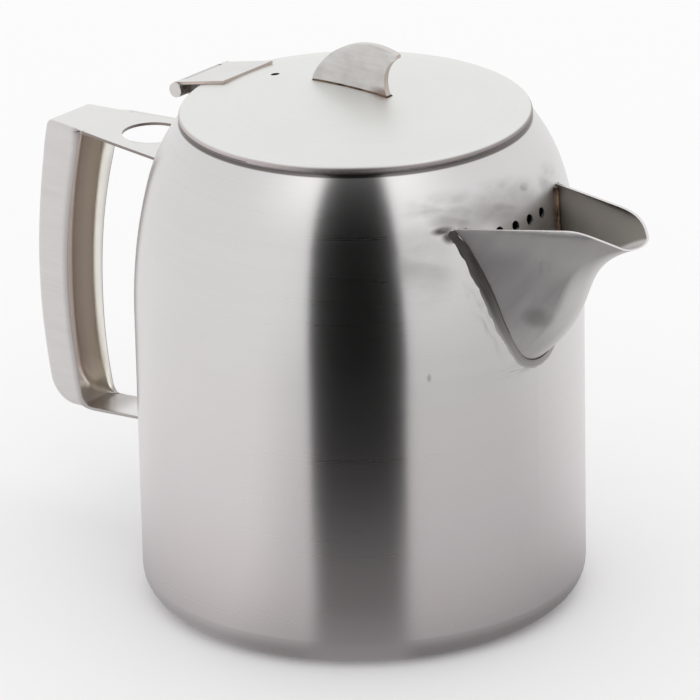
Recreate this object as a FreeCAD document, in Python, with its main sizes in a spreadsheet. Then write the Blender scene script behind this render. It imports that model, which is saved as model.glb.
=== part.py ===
import FreeCAD, Part
import math
import os
import Sketcher

# Driving sizes: lengths in millimetres, turns in degrees.
# +X points to the spout, -X to the handle, +Z up, and the base stands on Z = 0.
SIZES = {
    # Drawn pot
    "pot_radius": 67.0,
    "pot_sheet": 0.8,
    "base_corner_radius": 8.5,
    "wall_height": 89.3,
    "shoulder_bow_radius": 153.2,
    "shoulder_crown_radius": 51.4,
    "shoulder_inset": 18.0,
    "shoulder_rise": 61.15,
    "lip_radius": 2.0,
    "lip_width": 2.8,
    # Pierced strainer behind the spout
    "strainer_hole_radius": 1.5,
    "strainer_pitch": 6.6,
    "strainer_row_pitch": 6.4,
    "strainer_top_height": 128.3,
    # Spout
    "spout_sheet": 1.0,
    # Each level of the spout: its rise above the level below, its reach past the pot's wall, the
    # slant of its flanks and the radius of its nose
    "spout_bottom_rise": 80.0,
    "spout_bottom_out": -6.5,
    "spout_bottom_flare": 32.0,
    "spout_bottom_nose": 11.0,
    "spout_low_rise": 10.0,
    "spout_low_out": 2.8,
    "spout_low_flare": 32.0,
    "spout_low_nose": 10.0,
    "spout_belly_rise": 10.0,
    "spout_belly_out": 11.7,
    "spout_belly_flare": 32.0,
    "spout_belly_nose": 8.5,
    "spout_middle_rise": 9.0,
    "spout_middle_out": 16.3,
    "spout_middle_flare": 30.0,
    "spout_middle_nose": 8.0,
    "spout_upper_rise": 8.0,
    "spout_upper_out": 20.0,
    "spout_upper_flare": 29.0,
    "spout_upper_nose": 7.5,
    "spout_high_rise": 5.0,
    "spout_high_out": 24.2,
    "spout_high_flare": 27.0,
    "spout_high_nose": 7.0,
    "spout_throat_rise": 5.0,
    "spout_throat_out": 31.4,
    "spout_throat_flare": 23.2,
    "spout_throat_nose": 7.0,
    "spout_tip_rise": 4.1,
    "spout_tip_out": 40.5,
    "spout_tip_flare": 20.4,
    "spout_tip_nose": 7.0,
    "spout_top_rise": 4.9,
    "spout_top_out": 53.5,
    "spout_top_flare": 10.5,
    "spout_top_nose": 7.0,
    "lip_root_drop": 5.9,
    "lip_crest_drop": 0.85,
    "lip_crest_out": 22.0,
    "lip_crest_radius": 23.0,
    "lip_dip_drop": 6.2,
    "lip_dip_run": 19.0,
    "weld_width": 2.8,
    "weld_height": 0.6,
    # Handle pressing
    "handle_sheet": 0.9,
    "grip_half_width": 8.0,
    "grip_depth": 13.5,
    "grip_bow_radius": 182.0,
    "grip_edge_radius": 3.8,
    "grip_top_out": 47.4,
    "grip_foot_out": 51.4,
    "grip_top_corner_radius": 4.4,
    "grip_foot_corner_radius": 10.0,
    "top_strap_height": 126.4,
    "top_strap_flare_start": 8.4,
    "top_strap_flare_middle": 15.9,
    "top_strap_flare_end": 29.4,
    "top_strap_start_half_width": 10.5,
    "top_strap_middle_half_width": 11.4,
    "top_strap_half_width": 13.8,
    "top_strap_root_half_width": 22.0,
    "heat_hole_radius": 9.4,
    "heat_hole_out": 12.7,
    "foot_strap_height": 31.0,
    "foot_strap_slope": 5.0,
    # Lid
    "lid_sheet": 0.8,
    "lid_dome_radius": 215.0,
    "lid_overhang": 3.2,
    "lid_edge_radius": 2.0,
    "lid_seat_gap": 0.3,
    "vent_radius": 1.35,
    "vent_reach": 30.5,
    # Lid knob
    "knob_thickness": 2.0,
    "knob_heel_reach": 15.3,
    "knob_heel_rise": 0.6,
    "knob_tip_reach": 16.7,
    "knob_tip_rise": 13.3,
    "knob_tip_width": 1.1,
    "knob_toe_reach": 13.2,
    "knob_back_radius": 26.6,
    "knob_front_radius": 9.2,
    # Hinge
    "hinge_sheet": 0.9,
    "hinge_offset": 7.1,
    "pin_radius": 1.4,
    "pin_head_radius": 2.25,
    "pin_head_length": 0.8,
    "pin_press_gap": 0.02,
    "pin_running_gap": 0.05,
    "pin_end_gap": 0.15,
    "leaf_half_width": 11.4,
    "leaf_reach": 41.0,
    "leaf_touch_reach": 46.0,
    "leaf_bed": 0.25,
    "leaf_slot_gap": 0.6,
    "bracket_half_width": 8.0,
    "bracket_foot_half_width": 4.5,
    "bracket_side_gap": 0.3,
    "bracket_length": 20.0,
    "bracket_lean": 12.0,
}

doc = FreeCAD.newDocument("Teapot")
sheet = doc.addObject("Spreadsheet::Sheet", "Sizes")
for row, (alias, number) in enumerate(SIZES.items(), 1):
    sheet.set(f"A{row}", alias)
    sheet.set(f"B{row}", str(number))
    sheet.setAlias(f"B{row}", alias)
doc.recompute()

# Sketch geometry references for the origin, the X axis and the Z axis
ORIGIN = (-1, 1)
X_AXIS = -1
UP_AXIS = -2
START, END, CENTRE = (1, 2, 3)
FULL_TURN = 360.0
# Sketches that trim to open air reach this far past the object
CLEAR = 40.0
NORMAL = FreeCAD.Vector(0, 0, 1)


def size(formula):
    """Value of a formula whose words are sizes of the sheet."""
    return float(sheet.evalExpression(named(formula)))


def named(formula):
    """The same formula with every size written as a cell of the sheet."""
    words = []
    for word in formula.split():
        bare = word.strip("()")
        words.append(word.replace(bare, f"Sizes.{bare}") if bare in SIZES else word)
    return " ".join(words)


# Heights and reaches that several pieces share
NECK_RADIUS = "( pot_radius - shoulder_inset )"
SEAT_HEIGHT = "( wall_height + shoulder_rise )"
MOUTH_RADIUS = f"( {NECK_RADIUS} - lip_width )"
LID_RADIUS = f"( {NECK_RADIUS} + lid_overhang )"
LID_UNDER_RADIUS = "( lid_dome_radius - lid_sheet )"
DOME_CENTRE = (
    f"( {SEAT_HEIGHT} + lid_seat_gap - sqrt( {LID_UNDER_RADIUS} ^ 2 - {NECK_RADIUS} ^ 2 ) )"
)
LID_TOP = f"( {DOME_CENTRE} + lid_dome_radius )"
BARREL_RADIUS = "( pin_radius + pin_running_gap + hinge_sheet )"
HINGE_REACH = f"( {LID_RADIUS} + hinge_offset )"
LEAF_SLOPE = "asin( leaf_touch_reach / lid_dome_radius )"
LEAF_TOUCH_HEIGHT = (
    f"( {DOME_CENTRE} + sqrt( lid_dome_radius ^ 2 - leaf_touch_reach ^ 2 ) - leaf_bed )"
)
LEAF_TOP_AT_PIN = (
    f"( {LEAF_TOUCH_HEIGHT} + hinge_sheet / cos( {LEAF_SLOPE} )"
    f" - ( {HINGE_REACH} - leaf_touch_reach ) * tan( {LEAF_SLOPE} ) )"
)
HINGE_HEIGHT = f"( {LEAF_TOP_AT_PIN} - {BARREL_RADIUS} / cos( {LEAF_SLOPE} ) )"


def new_body(name):
    body = doc.addObject("PartDesign::Body", name)
    body.Label = name
    return body


def origin_feature(body, role):
    return next(item for item in body.Origin.OriginFeatures if item.Role == role)


def new_sketch(body, name, plane, height=None):
    """Sketch on one of the body's own origin planes, raised along its normal by a formula."""
    sketch = body.newObject("Sketcher::SketchObject", name)
    sketch.AttachmentSupport = [(origin_feature(body, plane), "")]
    sketch.MapMode = "FlatFace"
    if height:
        sketch.setExpression("AttachmentOffset.Base.z", named(height))
    return sketch


def point(x, y):
    return FreeCAD.Vector(x, y, 0)


def line(sketch, start, end):
    return sketch.addGeometry(Part.LineSegment(point(*start), point(*end)))


def arc(sketch, centre, radius, start_turn, end_turn):
    """Arc that runs anticlockwise from one turn to the other, in radians."""
    circle = Part.Circle(point(*centre), NORMAL, radius)
    return sketch.addGeometry(Part.ArcOfCircle(circle, start_turn, end_turn))


def arc_between(sketch, start, end, radius):
    """Shorter arc that runs anticlockwise from start to end."""
    chord = (end[0] - start[0], end[1] - start[1])
    length = math.hypot(*chord)
    rise = math.sqrt(radius ** 2 - length ** 2 / 4)
    middle = ((start[0] + end[0]) / 2, (start[1] + end[1]) / 2)
    centre = (middle[0] - chord[1] / length * rise, middle[1] + chord[0] / length * rise)
    first = math.atan2(start[1] - centre[1], start[0] - centre[0])
    last = math.atan2(end[1] - centre[1], end[0] - centre[0])
    return arc(sketch, centre, radius, first, last if last > first else last + 2 * math.pi)


def fix(sketch, kind, *items):
    sketch.addConstraint(Sketcher.Constraint(kind, *items))


def drive(sketch, kind, *items):
    """Dimension bound to a formula, which is the last item."""
    *places, formula = items
    index = sketch.addConstraint(Sketcher.Constraint(kind, *places, size(formula)))
    sketch.setExpression(f"Constraints[{index}]", named(formula))


def place(sketch, geometry, end, x, y):
    """Hold one end of a line or arc at formulas for its two coordinates."""
    for kind, formula, axis in (("DistanceX", x, UP_AXIS), ("DistanceY", y, X_AXIS)):
        if formula == "0":
            fix(sketch, "PointOnObject", geometry, end, axis)
        else:
            drive(sketch, kind, *ORIGIN, geometry, end, formula)


def polygon(sketch, corners):
    """Closed outline of straight lines through corners given as pairs of formulas."""
    spots = [(size(x), size(y)) for x, y in corners]
    sides = [line(sketch, spots[i], spots[(i + 1) % len(spots)]) for i in range(len(spots))]
    for i, side in enumerate(sides):
        fix(sketch, "Coincident", side, END, sides[(i + 1) % len(sides)], START)
        place(sketch, side, START, *corners[i])
    return sides


def circle_at(sketch, x, y, radius):
    ring = sketch.addGeometry(Part.Circle(point(size(x), size(y)), NORMAL, size(radius)))
    place(sketch, ring, CENTRE, x, y)
    drive(sketch, "Radius", ring, radius)
    return ring


def feature(body, kind, name, sketch, **settings):
    made = body.newObject(f"PartDesign::{kind}", name)
    made.Profile = sketch
    for key, setting in settings.items():
        setattr(made, key, setting)
    sketch.Visibility = False
    body.Tip = made
    return made


def turn(body, kind, name, sketch):
    """Full revolution about the upright axis, as added or removed material."""
    axis = (origin_feature(body, "Z_Axis"), [""])
    made = feature(body, kind, name, sketch, ReferenceAxis=axis, Angle=FULL_TURN)
    doc.recompute()
    return made


def across(body, kind, name, sketch, length):
    """Pad or pocket spread evenly on both sides of the sketch by a formula."""
    made = feature(body, kind, name, sketch, SideType="Symmetric")
    made.setExpression("Length", named(length))
    doc.recompute()
    return made


# Drawn pot

def pot_chain(sketch, inset):
    """Half outline of the pot from the base centre to the middle of the mouth, set in by a formula."""
    gap = size(inset)
    radius = size("pot_radius")
    corner = size("base_corner_radius")
    wall_top = size("wall_height")
    bow = size("shoulder_bow_radius")
    crown = size("shoulder_crown_radius")
    lip = size("lip_radius")
    bow_centre = (radius - bow, wall_top)
    lip_centre = (size(NECK_RADIUS), size(SEAT_HEIGHT) - lip)
    span = math.dist(bow_centre, lip_centre)
    slant = math.atan2(lip_centre[1] - bow_centre[1], lip_centre[0] - bow_centre[0])
    far, near = bow - crown, crown - lip
    swing = math.acos((far ** 2 + span ** 2 - near ** 2) / (2 * far * span))
    bow_turn = slant - swing
    crown_centre = (bow_centre[0] + far * math.cos(bow_turn), bow_centre[1] + far * math.sin(bow_turn))
    crown_turn = math.atan2(lip_centre[1] - crown_centre[1], lip_centre[0] - crown_centre[0])
    top = size(SEAT_HEIGHT) - gap
    base = line(sketch, (0, gap), (radius - corner, gap))
    heel = arc(sketch, (radius - corner, corner), corner - gap, -math.pi / 2, 0)
    wall = line(sketch, (radius - gap, corner), (radius - gap, wall_top))
    bowed = arc(sketch, bow_centre, bow - gap, 0, bow_turn)
    crowned = arc(sketch, crown_centre, crown - gap, bow_turn, crown_turn)
    rolled = arc(sketch, lip_centre, lip - gap, crown_turn, math.pi / 2)
    seat = line(sketch, (lip_centre[0], top), (0, top))
    chain = [base, heel, wall, bowed, crowned, rolled, seat]
    for first, second in zip(chain, chain[1:]):
        fix(sketch, "Tangent", first, END, second, START)
    fix(sketch, "Horizontal", base)
    fix(sketch, "Vertical", wall)
    fix(sketch, "Horizontal", seat)
    place(sketch, base, START, "0", inset)
    drive(sketch, "DistanceX", *ORIGIN, wall, START, f"pot_radius - {inset}")
    drive(sketch, "Radius", heel, f"base_corner_radius - {inset}")
    drive(sketch, "Radius", bowed, f"shoulder_bow_radius - {inset}")
    drive(sketch, "Radius", crowned, f"shoulder_crown_radius - {inset}")
    drive(sketch, "Radius", rolled, f"lip_radius - {inset}")
    drive(sketch, "DistanceY", *ORIGIN, bowed, CENTRE, "wall_height")
    drive(sketch, "DistanceX", *ORIGIN, rolled, CENTRE, NECK_RADIUS)
    place(sketch, seat, END, "0", f"{SEAT_HEIGHT} - {inset}")
    return base, seat


def pot_profile(body, name, inset):
    """The pot's half outline closed along its axis."""
    sketch = new_sketch(body, name, "XZ_Plane")
    base, seat = pot_chain(sketch, inset)
    axis = line(sketch, (0, size(SEAT_HEIGHT)), (0, 0))
    fix(sketch, "Coincident", seat, END, axis, START)
    fix(sketch, "Coincident", axis, END, base, START)
    return sketch


def trim_to_pot(body):
    """Remove what lies inside the pot's outer skin, so that the piece ends on that skin."""
    return turn(body, "Groove", f"{body.Name}OnSkin", pot_profile(body, f"{body.Name}Skin", "0"))


pot = new_body("body_shell")
turn(pot, "Revolution", "DrawnBlank", pot_profile(pot, "OuterProfile", "0"))
turn(pot, "Groove", "Cavity", pot_profile(pot, "InnerProfile", "pot_sheet"))
mouth = new_sketch(pot, "MouthCircle", "XY_Plane", SEAT_HEIGHT)
circle_at(mouth, "0", "0", MOUTH_RADIUS)
mouth_cut = feature(pot, "Pocket", "Mouth", mouth)
mouth_cut.setExpression("Length", named("lip_radius"))
doc.recompute()

STRAINER_ROWS = 4
strainer = new_sketch(pot, "StrainerHoles", "YZ_Plane")
for row in range(STRAINER_ROWS):
    holes = STRAINER_ROWS - row
    for column in range(holes):
        step = column - (holes - 1) / 2
        across_pot = "0" if step == 0 else f"strainer_pitch * {step}"
        height = f"strainer_top_height - strainer_row_pitch * {row}"
        circle_at(strainer, across_pot, height, "strainer_hole_radius")
strainer_cut = feature(pot, "Pocket", "Strainer", strainer, Reversed=True)
strainer_cut.setExpression("Length", named("pot_radius"))
doc.recompute()


# Spout: a beak pressed from sheet, welded to the pot along both flanks and under the keel

SPOUT_LEVELS = ("bottom", "low", "belly", "middle", "upper", "high", "throat", "tip", "top")
SPOUT_INNER_REACH = "( pot_radius / 2 )"


def spout_height(level):
    """Height of a level: the rises up to it, added up."""
    below = SPOUT_LEVELS[: SPOUT_LEVELS.index(level) + 1]
    return "( " + " + ".join(f"spout_{name}_rise" for name in below) + " )"


SPOUT_TOP_HEIGHT = spout_height("top")
SPOUT_END_REACH = "( pot_radius + spout_top_out )"
LIP_ROOT_HEIGHT = f"( {SPOUT_TOP_HEIGHT} - lip_root_drop )"
LIP_CREST_HEIGHT = f"( {SPOUT_TOP_HEIGHT} - lip_crest_drop )"
LIP_CREST_REACH = "( pot_radius + lip_crest_out )"
LIP_DIP_HEIGHT = f"( {LIP_CREST_HEIGHT} - lip_dip_drop )"
LIP_DIP_REACH = "( pot_radius + lip_crest_out + lip_dip_run )"


def beak_section(body, name, level, inset):
    """Level outline of the spout: two straight flanks that run into a round nose."""
    sketch = new_sketch(body, name, "XY_Plane", spout_height(level))
    nose = f"( spout_{level}_nose - {inset} )"
    middle = f"( pot_radius + spout_{level}_out - spout_{level}_nose )"
    flare = f"spout_{level}_flare"
    slope = math.radians(size(flare))
    radius = size(nose)
    centre = size(middle)
    back = size(SPOUT_INNER_REACH)
    touch = (centre + radius * math.sin(slope), radius * math.cos(slope))
    spread = radius / math.cos(slope) + (centre - back) * math.tan(slope)
    near = line(sketch, (back, -spread), (touch[0], -touch[1]))
    round_nose = arc(sketch, (centre, 0), radius, slope - math.pi / 2, math.pi / 2 - slope)
    far = line(sketch, touch, (back, spread))
    closing = line(sketch, (back, spread), (back, -spread))
    fix(sketch, "Tangent", near, END, round_nose, START)
    fix(sketch, "Tangent", round_nose, END, far, START)
    fix(sketch, "Coincident", far, END, closing, START)
    fix(sketch, "Coincident", closing, END, near, START)
    fix(sketch, "Vertical", closing)
    place(sketch, round_nose, CENTRE, middle, "0")
    drive(sketch, "Radius", round_nose, nose)
    drive(sketch, "DistanceX", *ORIGIN, closing, START, SPOUT_INNER_REACH)
    half_width = f"{nose} / cos( {flare} ) + ( {middle} - {SPOUT_INNER_REACH} ) * tan( {flare} )"
    drive(sketch, "DistanceY", *ORIGIN, closing, START, half_width)
    drive(sketch, "DistanceY", closing, END, *ORIGIN, half_width)
    return sketch


def beak(body, kind, name, inset):
    sections = [beak_section(body, f"{name}{level.title()}", level, inset) for level in SPOUT_LEVELS]
    made = feature(body, kind, name, sections[0], Sections=sections[1:])
    doc.recompute()
    return made


def trim_to_lip(body):
    """Cut away what stands above the spout's lip, which climbs to a crest and dips at the tip."""
    sketch = new_sketch(body, f"{body.Name}LipLine", "XZ_Plane")
    back = size(SPOUT_INNER_REACH)
    end = size(SPOUT_END_REACH)
    ceiling = f"( {SPOUT_TOP_HEIGHT} + lip_crest_radius )"
    roof = size(ceiling)
    root = (back, size(LIP_ROOT_HEIGHT))
    crest_radius = size("lip_crest_radius")
    crest_centre = (size(LIP_CREST_REACH), size(LIP_CREST_HEIGHT) - crest_radius)
    run = size("lip_dip_run")
    fall = size("lip_dip_drop")
    dip_radius = (run ** 2 + fall ** 2) / (2 * fall) - crest_radius
    dip_centre = (size(LIP_DIP_REACH), size(LIP_DIP_HEIGHT) + dip_radius)
    bend = math.atan2(dip_centre[1] - crest_centre[1], run)
    to_root = math.atan2(root[1] - crest_centre[1], root[0] - crest_centre[0])
    spread = math.acos(crest_radius / math.dist(root, crest_centre))
    climb = to_root - spread
    touch_x = crest_centre[0] + crest_radius * math.cos(climb)
    touch_z = crest_centre[1] + crest_radius * math.sin(climb)
    rise = line(sketch, root, (touch_x, touch_z))
    crest = arc(sketch, crest_centre, crest_radius, bend, climb)
    dip = arc(sketch, dip_centre, dip_radius, bend + math.pi, 1.5 * math.pi)
    low = size(LIP_DIP_HEIGHT)
    level = line(sketch, (dip_centre[0], low), (end, low))
    outer_side = line(sketch, (end, low), (end, roof))
    roof_line = line(sketch, (end, roof), (back, roof))
    inner_side = line(sketch, (back, roof), root)
    fix(sketch, "Tangent", rise, END, crest, END)
    fix(sketch, "Tangent", crest, START, dip, START)
    fix(sketch, "Tangent", dip, END, level, START)
    fix(sketch, "Coincident", level, END, outer_side, START)
    fix(sketch, "Coincident", outer_side, END, roof_line, START)
    fix(sketch, "Coincident", roof_line, END, inner_side, START)
    fix(sketch, "Coincident", inner_side, END, rise, START)
    fix(sketch, "Horizontal", level)
    fix(sketch, "Vertical", outer_side)
    drive(sketch, "Radius", crest, "lip_crest_radius")
    place(sketch, crest, CENTRE, LIP_CREST_REACH, f"{LIP_CREST_HEIGHT} - lip_crest_radius")
    drive(sketch, "DistanceX", *ORIGIN, dip, CENTRE, LIP_DIP_REACH)
    drive(sketch, "DistanceY", *ORIGIN, level, END, LIP_DIP_HEIGHT)
    drive(sketch, "DistanceX", *ORIGIN, level, END, SPOUT_END_REACH)
    place(sketch, rise, START, SPOUT_INNER_REACH, LIP_ROOT_HEIGHT)
    place(sketch, roof_line, END, SPOUT_INNER_REACH, ceiling)
    fix(sketch, "Horizontal", roof_line)
    return across(body, "Pocket", f"{body.Name}Lip", sketch, "pot_radius * 2")


spout = new_body("spout")
beak(spout, "AdditiveLoft", "BeakOutside", "0")
beak(spout, "SubtractiveLoft", "BeakInside", "spout_sheet")
trim_to_lip(spout)
trim_to_pot(spout)

# Weld along the spout's root: the strip that is close to the spout and close to the pot's skin
weld = new_body("spout_weld")
beak(weld, "AdditiveLoft", "BeadOutside", "( 0 - weld_width )")
beak(weld, "SubtractiveLoft", "BeadInside", "0")
trim_to_lip(weld)
trim_to_pot(weld)
beyond = new_sketch(weld, "BeyondBead", "XZ_Plane")
floor_end, seat_end = pot_chain(beyond, "( 0 - weld_height )")
outer = size(SPOUT_END_REACH) + CLEAR
above = size(SEAT_HEIGHT) + CLEAR
edge_spots = [(0, above), (outer, above), (outer, -CLEAR), (0, -CLEAR)]
rise = line(beyond, (0, size(SEAT_HEIGHT)), edge_spots[0])
rim = [line(beyond, edge_spots[i], edge_spots[i + 1]) for i in range(3)]
drop = line(beyond, edge_spots[3], (0, 0))
loop = [seat_end, rise, *rim, drop, floor_end]
for first, second in zip(loop, loop[1:]):
    fix(beyond, "Coincident", first, END, second, START)
turn(weld, "Groove", "BeadDepth", beyond)


# Handle: one pressing, with a channel grip between two flat straps

handle = new_body("handle")
side = new_sketch(handle, "GripSide", "XZ_Plane")
GRIP_TOP_REACH = "( pot_radius + grip_top_out )"
GRIP_FOOT_REACH = "( pot_radius + grip_foot_out )"
top_out = (f"0 - {GRIP_TOP_REACH}", "top_strap_height")
foot_out = (f"0 - {GRIP_FOOT_REACH}", "foot_strap_height")
top_in = (f"grip_depth - {GRIP_TOP_REACH}", "top_strap_height")
foot_in = (f"grip_depth - {GRIP_FOOT_REACH}", "foot_strap_height + grip_depth * tan( foot_strap_slope )")
spots = {name: (size(spot[0]), size(spot[1])) for name, spot in
         (("top_out", top_out), ("foot_out", foot_out), ("top_in", top_in), ("foot_in", foot_in))}
bow = arc_between(side, spots["top_out"], spots["foot_out"], size("grip_bow_radius"))
foot = line(side, spots["foot_out"], spots["foot_in"])
open_side = arc_between(side, spots["top_in"], spots["foot_in"], size("grip_bow_radius - grip_depth"))
top = line(side, spots["top_in"], spots["top_out"])
for first, first_end, second, second_end in (
    (bow, END, foot, START),
    (foot, END, open_side, END),
    (open_side, START, top, START),
    (top, END, bow, START),
):
    fix(side, "Coincident", first, first_end, second, second_end)
place(side, bow, START, *top_out)
place(side, bow, END, *foot_out)
place(side, open_side, START, *top_in)
place(side, open_side, END, *foot_in)
drive(side, "Radius", bow, "grip_bow_radius")
drive(side, "Radius", open_side, "grip_bow_radius - grip_depth")
grip_block = across(handle, "Pad", "GripBlock", side, "grip_half_width * 2")


def edges_where(solid, test):
    return [f"Edge{i}" for i, edge in enumerate(solid.Shape.Edges, 1) if test(edge)]


def faces_where(solid, test):
    return [f"Face{i}" for i, face in enumerate(solid.Shape.Faces, 1) if test(face)]


def rounded(body, base, name, radius, test):
    made = body.newObject("PartDesign::Fillet", name)
    made.Base = (base, edges_where(base, test))
    made.setExpression("Radius", named(radius))
    body.Tip = made
    doc.recompute()
    return made


def lies_across(edge, spot):
    """True for a straight edge along Y through a spot of the side view."""
    middle = edge.CenterOfMass
    return abs(middle.x - spot[0]) < 1e-3 and abs(middle.z - spot[1]) < 1e-3


def on_bow(edge):
    return isinstance(edge.Curve, Part.Circle) and abs(edge.Curve.Radius - size("grip_bow_radius")) < 1e-3


def on_open_side(face):
    middle = face.CenterOfMass
    return isinstance(face.Surface, Part.Cylinder) and abs(
        face.Surface.Radius - size("grip_bow_radius - grip_depth")) < 1e-3 and abs(middle.y) < 1e-3


grip = rounded(handle, grip_block, "TopBend", "grip_top_corner_radius",
               lambda edge: lies_across(edge, spots["top_out"]))
grip = rounded(handle, grip, "FootBend", "grip_foot_corner_radius",
               lambda edge: lies_across(edge, spots["foot_out"]))
grip = rounded(handle, grip, "GripEdges", "grip_edge_radius", on_bow)
channel = handle.newObject("PartDesign::Thickness", "GripChannel")
channel.Base = (grip, faces_where(grip, on_open_side))
channel.Reversed = True
channel.setExpression("Value", named("handle_sheet"))
handle.Tip = channel
doc.recompute()

strap = new_sketch(handle, "TopStrapOutline", "XY_Plane", "top_strap_height - handle_sheet")
strap_half = [
    (f"grip_top_corner_radius - {GRIP_TOP_REACH}", "( grip_half_width - grip_edge_radius )"),
    (f"top_strap_flare_start - {GRIP_TOP_REACH}", "top_strap_start_half_width"),
    (f"top_strap_flare_middle - {GRIP_TOP_REACH}", "top_strap_middle_half_width"),
    (f"top_strap_flare_end - {GRIP_TOP_REACH}", "top_strap_half_width"),
    ("0 - pot_radius / 2", "top_strap_root_half_width"),
]
polygon(strap, strap_half + [(x, f"0 - {y}") for x, y in reversed(strap_half)])
circle_at(strap, "0 - pot_radius - heat_hole_out", "0", "heat_hole_radius")
top_strap = feature(handle, "Pad", "TopStrap", strap)
top_strap.setExpression("Length", named("handle_sheet"))
doc.recompute()

foot_side = new_sketch(handle, "FootStrapSide", "XZ_Plane")
foot_start = f"( grip_depth - {GRIP_FOOT_REACH} - handle_sheet )"
foot_end = "( 0 - pot_radius / 2 )"


def foot_line(x):
    return f"foot_strap_height + ( {x} + {GRIP_FOOT_REACH} ) * tan( foot_strap_slope )"


polygon(foot_side, [
    (foot_start, foot_line(foot_start)),
    (foot_end, foot_line(foot_end)),
    (foot_end, f"{foot_line(foot_end)} + handle_sheet"),
    (foot_start, f"{foot_line(foot_start)} + handle_sheet"),
])
across(handle, "Pad", "FootStrap", foot_side, "( grip_half_width - handle_sheet ) * 2")
trim_to_pot(handle)


# Hinge bracket: a strip welded on the shoulder, with its top rolled round the pin

PIN_X = f"( 0 - {HINGE_REACH} )"
bracket = new_body("hinge_bracket")
strip = new_sketch(bracket, "StripSide", "XZ_Plane")
strip_back = (
    f"{PIN_X} - {BARREL_RADIUS} * cos( bracket_lean )",
    f"{HINGE_HEIGHT} - {BARREL_RADIUS} * sin( bracket_lean )",
)


def strip_corner(depth, drop):
    """Corner of the strip, in from its back face and down along its lean."""
    x = f"{strip_back[0]} + {depth} * cos( bracket_lean ) + {drop} * sin( bracket_lean )"
    z = f"{strip_back[1]} + {depth} * sin( bracket_lean ) - {drop} * cos( bracket_lean )"
    return x, z


polygon(strip, [
    strip_corner("0", "0"),
    strip_corner("0", "bracket_length"),
    strip_corner("hinge_sheet", "bracket_length"),
    strip_corner("hinge_sheet", "0"),
])
across(bracket, "Pad", "Strip", strip, "bracket_foot_half_width * 2")
roll = new_sketch(bracket, "RollSide", "XZ_Plane")
circle_at(roll, PIN_X, HINGE_HEIGHT, BARREL_RADIUS)
across(bracket, "Pad", "Roll", roll, "bracket_half_width * 2")
bracket_bore = new_sketch(bracket, "BoreSide", "XZ_Plane")
circle_at(bracket_bore, PIN_X, HINGE_HEIGHT, "pin_radius + pin_press_gap")
across(bracket, "Pocket", "PinBore", bracket_bore, "bracket_half_width * 3")
trim_to_pot(bracket)


# Hinge pin, with a head at each end

pin = new_body("hinge_pin")
PIN_HALF_LENGTH = "( leaf_half_width + pin_end_gap )"
shank = new_sketch(pin, "ShankCircle", "XZ_Plane")
circle_at(shank, PIN_X, HINGE_HEIGHT, "pin_radius")
across(pin, "Pad", "Shank", shank, f"{PIN_HALF_LENGTH} * 2")
for side_name, sign in (("Near", 1), ("Far", -1)):
    head = new_sketch(pin, f"{side_name}HeadCircle", "XZ_Plane", f"{PIN_HALF_LENGTH} * {sign}")
    circle_at(head, PIN_X, HINGE_HEIGHT, "pin_head_radius")
    head_pad = feature(pin, "Pad", f"{side_name}Head", head, Reversed=sign < 0)
    head_pad.setExpression("Length", named("pin_head_length"))
    doc.recompute()


# Lid: a shallow dome with its edge turned down, resting on the mouth

def lid_arcs(sketch, inset):
    """Dome and turned edge of the lid, set in by a formula, from the rim to the middle."""
    gap = size(inset)
    dome = size("lid_dome_radius")
    edge = size("lid_edge_radius")
    centre = size(DOME_CENTRE)
    edge_x = size(LID_RADIUS) - edge
    edge_z = centre + math.sqrt((dome - edge) ** 2 - edge_x ** 2)
    slope = math.atan2(edge_z - centre, edge_x)
    turned = arc(sketch, (edge_x, edge_z), edge - gap, 0, slope)
    domed = arc(sketch, (0, centre), dome - gap, slope, math.pi / 2)
    fix(sketch, "Tangent", turned, END, domed, START)
    place(sketch, domed, CENTRE, "0", DOME_CENTRE)
    fix(sketch, "PointOnObject", domed, END, UP_AXIS)
    drive(sketch, "Radius", domed, f"lid_dome_radius - {inset}")
    drive(sketch, "Radius", turned, f"lid_edge_radius - {inset}")
    drive(sketch, "DistanceX", *ORIGIN, turned, CENTRE, f"{LID_RADIUS} - lid_edge_radius")
    return turned, domed, (edge_x, edge_z)


lid = new_body("lid")
lid_profile = new_sketch(lid, "LidProfile", "XZ_Plane")
upper_edge, upper_dome, edge_centre = lid_arcs(lid_profile, "0")
lower_edge, lower_dome, edge_centre = lid_arcs(lid_profile, "lid_sheet")
rim_inside = size(f"{LID_RADIUS} - lid_sheet")
rim_line = line(lid_profile, (rim_inside, edge_centre[1]), (size(LID_RADIUS), edge_centre[1]))
lid_axis = line(lid_profile, (0, size(LID_TOP)), (0, size(LID_TOP) - size("lid_sheet")))
fix(lid_profile, "Coincident", lower_edge, START, rim_line, START)
fix(lid_profile, "Coincident", rim_line, END, upper_edge, START)
fix(lid_profile, "Coincident", upper_dome, END, lid_axis, START)
fix(lid_profile, "Coincident", lid_axis, END, lower_dome, END)
fix(lid_profile, "Horizontal", rim_line)
edge_height = (
    f"{DOME_CENTRE} + sqrt( ( lid_dome_radius - lid_edge_radius ) ^ 2"
    f" - ( {LID_RADIUS} - lid_edge_radius ) ^ 2 )"
)
drive(lid_profile, "DistanceY", *ORIGIN, rim_line, START, edge_height)
turn(lid, "Revolution", "LidDisc", lid_profile)
vent = new_sketch(lid, "VentCircle", "XY_Plane", LID_TOP)
circle_at(vent, "0 - vent_reach", "0", "vent_radius")
vent_cut = feature(lid, "Pocket", "Vent", vent)
vent_cut.setExpression("Length", named(f"{LID_TOP} - {SEAT_HEIGHT}"))
doc.recompute()


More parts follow.
